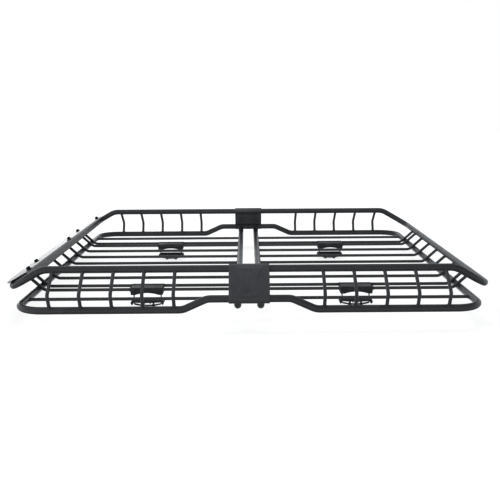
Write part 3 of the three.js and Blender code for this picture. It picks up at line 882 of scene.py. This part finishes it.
def panel_outline(inset=0.0):
    """The panel's edge: square-ish corners at the top, long swept corners at the bottom."""
    w, top, low = PANEL_HALF - inset, FOLD_R - PANEL_ABOVE + inset, PANEL_BELOW - inset
    corner = PANEL_TOP_CORNER
    right = [(w - corner, top)]
    right += bezier((w - corner, top), (w - corner / 3, top), (w, top + corner / 3), (w, top + corner), 8)
    shoulder = (w, -PANEL_TOP_CORNER)
    right.append(shoulder)
    right += bezier(shoulder, (w, 0), (w - PANEL_LOW_CORNER * 0.6, low), (w - PANEL_LOW_CORNER, low), 24)
    return right + [(-x, y) for x, y in reversed(right)]


def lip_section():
    """The folded lip across the rail, as (down the slope, out of the face) points."""
    face = PANEL_LIFT + PANEL_T
    outside = -PANEL_ABOVE
    foot = (outside + PANEL_T / 2, face - PANEL_LIP + PANEL_T / 2)
    bend = (outside + FOLD_R, face - FOLD_R)
    outer_bend = arc(bend, FOLD_R, 90, 180, 10)
    free_edge = arc(foot, PANEL_T / 2, 180, 360, 8)
    inner_bend = arc(bend, FOLD_R - PANEL_T, 180, 90, 6)
    return [(bend[0] + SHEET_EDGE, face)] + outer_bend + free_edge + inner_bend + [
        (bend[0] + SHEET_EDGE, face - PANEL_T)]


def fairing_panel(axes):
    """The sheet with a rounded edge all round and its upper edge folded down into a lip."""
    shell = Shell()
    rings = []
    edge = ((SHEET_EDGE, 0), (0.3, 0.4), (0, PANEL_T / 2), (0.3, PANEL_T - 0.4), (SHEET_EDGE, PANEL_T))
    for inset, z in edge:
        rings.append(shell.ring([(x, y, PANEL_LIFT + z) for x, y in panel_outline(inset)]))
    close(shell, rings)
    half = PANEL_HALF - PANEL_TOP_CORNER
    close(shell, [shell.ring([(x, y, z) for y, z in lip_section()]) for x in (-half, half)])
    piece("fairing_sheet", shell.moved(axes), GLOSS, "fairing", ["fairing_panel"], sharp=50)


def stud_cap(shell, x, y, radius, height):
    """A domed plastic cap over a stud, standing on a flat washer."""
    face = PANEL_LIFT + PANEL_T
    cap = turned_profile([(radius + 3, 0), (radius + 3, 0.8), (radius + 2.6, 1.2)], 32)
    turned_profile([(radius, 1.0), (radius, height - 2.4), (radius - 0.5, height - 1.2),
                    (radius - 1.7, height - 0.4), (radius - 3.4, height)], 32, cap)
    shell.add(cap.moved(Matrix.Translation((x, y, face))))


def fairing_studs(axes):
    """Three studs by the fold and two lower down, where the clips are."""
    shell = Shell()
    for row, y in ((UPPER_STUDS, UPPER_STUD_Y), (LOWER_STUDS, LOWER_STUD_Y)):
        for x in row:
            stud_cap(shell, x, y, STUD_R, STUD_HEIGHT)
    piece("fairing_stud_caps", shell.moved(axes), RUBBER, "fairing", sharp=35)


def fairing_clip(name, side):
    """A steel band closed round the rail, with its edges broken."""
    inner = TUBE_R + GAP
    outer, side_y, in_y = inner + CLIP_T, CLIP_HALF, CLIP_HALF - CLIP_EDGE
    section = [(inner, -in_y), (inner + CLIP_EDGE, -side_y), (outer - CLIP_EDGE, -side_y), (outer, -in_y)]
    section += [(r, -y) for r, y in reversed(section)]
    shell = Shell()
    rings = [shell.ring(circle(ALONG_Y * y, ALONG_X, ALONG_Z, r, TUBE_SIDES)) for r, y in section]
    for a, b in zip(rings, rings[1:] + rings[:1]):
        shell.bridge(a, b)
    place = Matrix.Translation((-UPPER_END_X, side * CLIP_Y, UPPER_END_Z))
    piece(f"fairing_clip_{name}_band", shell.moved(place), STRAP, "fairing",
          [f"fairing_clip_{name}"], sharp=30)


def wind_fairing():
    """Everything that tilts with the fairing."""
    axes = fairing_axes()
    fairing_panel(axes)
    fairing_studs(axes)
    for name, side in SIDES:
        fairing_clip(name, side)


# ---- stage, light and camera -------------------------------------------------------------------
# Metres and watts. The camera sees the floor as a dark shade plus a glow that rises with distance.
FLOOR_HALF, FLOOR_SHADE, FLOOR_BOUNCE = 14, (0.15, 0.15, 0.15), (0.42, 0.43, 0.45)
GLOW_NEAR, GLOW_FAR, GLOW_REACH = 0.84, 1.0, (0.8, 3.2)
BLACK, WHITE, CARD_TINT = (0.0, 0.0, 0.0), (1.0, 1.0, 1.0), (0.93, 0.97, 1.0)
FRONT_CARD, BACK_CARD, ROOM = 4.2, 2.8, 0.45         # how bright the coat sees the cards and the room
FRONT_HEIGHT, FRONT_SOFT = (-0.5, 0.1), 0.25         # the cards' lower and upper edges, as ray directions
BACK_HEIGHT, BACK_SOFT = (-0.2, 0.25), 0.3
OVERHEAD_AT, OVERHEAD_SIZE, OVERHEAD_POWER = (0, 0.2, 2.4), (2.6, 1.4), 62
KEY_AT, KEY_AIM, KEY_SIZE, KEY_POWER = (-1.6, -1.8, 1.3), (0, -0.4, 0.1), (0.7, 0.7), 30
FAIRING_CARD_AT, FAIRING_CARD_AIM = (-1.1, 1.4, 0.03), (-0.62, 0, 0.12)
FAIRING_CARD_SIZE, FAIRING_CARD_POWER = (1.4, 0.8), 7
CONTRAST = 0.8
CAMERA_AT, CAMERA_LENS, CAMERA_SENSOR = (0.0134, -2.494, 0.5608), 55.6, 36
CAMERA_PITCH, CAMERA_YAW, CAMERA_ROLL = (math.radians(turn) for turn in (10.5, 0.18, 0.354))


def maths(tree, operation, first, second):
    """One arithmetic node; each operand is a socket or a number."""
    node = tree.nodes.new("ShaderNodeMath")
    node.operation = operation
    for socket, value in zip(node.inputs, (first, second)):
        if isinstance(value, (int, float)):
            socket.default_value = value
        else:
            tree.links.new(value, socket)
    return node.outputs[0]


def band(tree, value, low, high, soft):
    """1 where the value lies between low and high, fading to 0 outside."""
    rise = ramp(tree, value, 0.0, 1.0, low - soft, low)
    fall = ramp(tree, value, 1.0, 0.0, high, high + soft)
    return maths(tree, "MULTIPLY", rise, fall)


def mirrored_room(tree, direction):
    """What the coat mirrors: a low white card in front, a dimmer one behind, and a dark room."""
    parts = tree.nodes.new("ShaderNodeSeparateXYZ")
    tree.links.new(direction, parts.inputs[0])
    height = parts.outputs["Z"]
    front = ramp(tree, parts.outputs["Y"], 1.0, 0.0, -0.35, 0.05)
    back = maths(tree, "SUBTRACT", 1.0, front)
    low_card = maths(tree, "MULTIPLY", front, band(tree, height, *FRONT_HEIGHT, FRONT_SOFT))
    far_card = maths(tree, "MULTIPLY", back, band(tree, height, *BACK_HEIGHT, BACK_SOFT))
    light = maths(tree, "ADD", maths(tree, "MULTIPLY", low_card, FRONT_CARD),
                  maths(tree, "MULTIPLY", far_card, BACK_CARD))
    return mix_colour(tree, maths(tree, "ADD", light, ROOM), BLACK, CARD_TINT)


def ray_split(tree, for_camera, for_others, ray="Is Camera Ray"):
    """One value for what one kind of ray sees and another for the rest."""
    path = tree.nodes.new("ShaderNodeLightPath")
    return mix_colour(tree, path.outputs[ray], for_others, for_camera)


def stage():
    """A white seamless floor; what the camera sees of it is mostly glow, so that shadows stay pale."""
    mesh = bpy.data.meshes.new("floor")
    corners = [(FLOOR_HALF * x, FLOOR_HALF * y, 0) for x, y in ((-1, -1), (1, -1), (1, 1), (-1, 1))]
    mesh.from_pydata(corners, [], [(0, 1, 2, 3)])
    floor = bpy.data.objects.new("floor", mesh)
    bpy.context.scene.collection.objects.link(floor)
    material, tree, shader = new_material("studio_floor")
    geometry = tree.nodes.new("ShaderNodeNewGeometry")
    distance = tree.nodes.new("ShaderNodeVectorMath")
    distance.operation = "LENGTH"
    tree.links.new(geometry.outputs["Position"], distance.inputs[0])
    glow = ramp(tree, distance.outputs["Value"], GLOW_NEAR, GLOW_FAR, *GLOW_REACH)
    cloudy = ramp(tree, noise_node(tree, 2, 3), 0, 1)
    shade = mix_colour(tree, cloudy, FLOOR_SHADE, tuple(c + 0.01 for c in FLOOR_SHADE))
    matt = ray_split(tree, BLACK, FLOOR_BOUNCE, "Is Glossy Ray")
    tree.links.new(ray_split(tree, shade, matt), shader.inputs["Base Color"])
    away = tree.nodes.new("ShaderNodeVectorMath")
    away.operation = "SCALE"
    away.inputs["Scale"].default_value = -1.0
    tree.links.new(geometry.outputs["Incoming"], away.inputs[0])
    mirrored = ray_split(tree, mirrored_room(tree, away.outputs[0]), BLACK, "Is Glossy Ray")
    tree.links.new(ray_split(tree, glow, mirrored), shader.inputs["Emission Color"])
    shader.inputs["Emission Strength"].default_value = 1.0
    shader.inputs["Roughness"].default_value = 0.9
    shader.inputs["Specular IOR Level"].default_value = 0.0
    mesh.materials.append(material)


def area_light(name, place, target, size, power, diffuse=True, glossy=True):
    """A rectangular lamp that the camera can't see, turned to face a target."""
    data = bpy.data.lights.new(name, "AREA")
    data.shape = "RECTANGLE"
    data.size, data.size_y = size
    data.energy = power
    lamp = bpy.data.objects.new(name, data)
    lamp.location = place
    lamp.rotation_euler = (Vector(target) - Vector(place)).to_track_quat("-Z", "Y").to_euler()
    lamp.visible_camera = False
    lamp.visible_diffuse = diffuse
    lamp.visible_glossy = glossy
    bpy.context.scene.collection.objects.link(lamp)


def studio_world():
    """White to the camera, the mirrored room to everything else."""
    world = bpy.data.worlds.new("studio")
    world.use_nodes = True
    tree = world.node_tree
    coords = tree.nodes.new("ShaderNodeTexCoord")
    shade = ray_split(tree, WHITE, mirrored_room(tree, coords.outputs["Generated"]))
    tree.links.new(shade, tree.nodes["Background"].inputs["Color"])
    tree.nodes["Background"].inputs["Strength"].default_value = 1.0
    bpy.context.scene.world = world


def lights():
    """The room, a wide lamp overhead, a key from the left and a card for the fairing's lip to mirror."""
    studio_world()
    area_light("overhead", OVERHEAD_AT, (0, 0, 0), OVERHEAD_SIZE, OVERHEAD_POWER, glossy=False)
    area_light("key", KEY_AT, KEY_AIM, KEY_SIZE, KEY_POWER, glossy=False)
    area_light("fairing_card", FAIRING_CARD_AT, FAIRING_CARD_AIM, FAIRING_CARD_SIZE, FAIRING_CARD_POWER,
               diffuse=False)
    bpy.context.scene.view_settings.view_transform = "Standard"
    bpy.context.scene.view_settings.gamma = CONTRAST


def camera():
    """A 56 mm lens, two and a half metres from the basket's middle line, looking down 10.5 degrees."""
    data = bpy.data.cameras.new("camera")
    data.lens = CAMERA_LENS
    data.sensor_width = CAMERA_SENSOR
    cam = bpy.data.objects.new("camera", data)
    cam.location = CAMERA_AT
    cam.rotation_mode = "QUATERNION"
    aim = Matrix.Rotation(-CAMERA_YAW, 4, "Z") @ Matrix.Rotation(math.pi / 2 - CAMERA_PITCH, 4, "X")
    turn = aim @ Matrix.Rotation(-CAMERA_ROLL, 4, "Z")
    cam.rotation_quaternion = turn.to_quaternion()
    bpy.context.scene.collection.objects.link(cam)
    bpy.context.scene.camera = cam


rails()
floor_rods()
for side_name, side_sign in SIDES:
    joint_plate(side_name, side_sign)
    plate_fasteners(side_name, side_sign)
crossbar_mounts()
wind_fairing()
stage()
lights()
camera()
